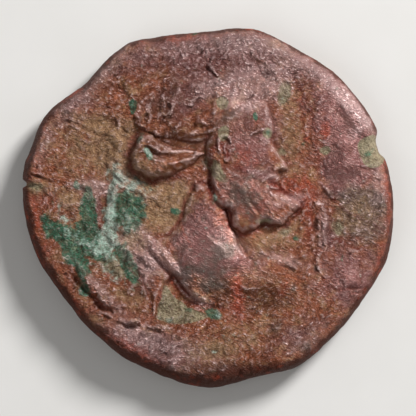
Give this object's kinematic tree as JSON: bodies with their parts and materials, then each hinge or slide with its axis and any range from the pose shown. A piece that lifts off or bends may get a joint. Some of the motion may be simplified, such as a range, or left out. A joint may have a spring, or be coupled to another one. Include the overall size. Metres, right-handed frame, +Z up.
{
  "type": "ancient bronze coin",
  "caption": "Worn, corroded struck bronze coin on a thick uneven flan: bearded draped bust facing right in low relief, wreath on the reverse.",
  "frame": {"origin": "on the underside, below the middle of the flan, the coin lying with its obverse up", "axes": "+Z up out of the obverse, +X towards the front of the bust, +Y towards the top of its head"},
  "size_m": [0.024, 0.0232, 0.0032],
  "materials": {
    "patinated_bronze": "struck bronze with a worn red-brown patina, tan soil in the hollows and patches of green corrosion"
  },
  "bodies": {
    "root": {"coin": "patinated_bronze"}
  },
  "joints": []
}
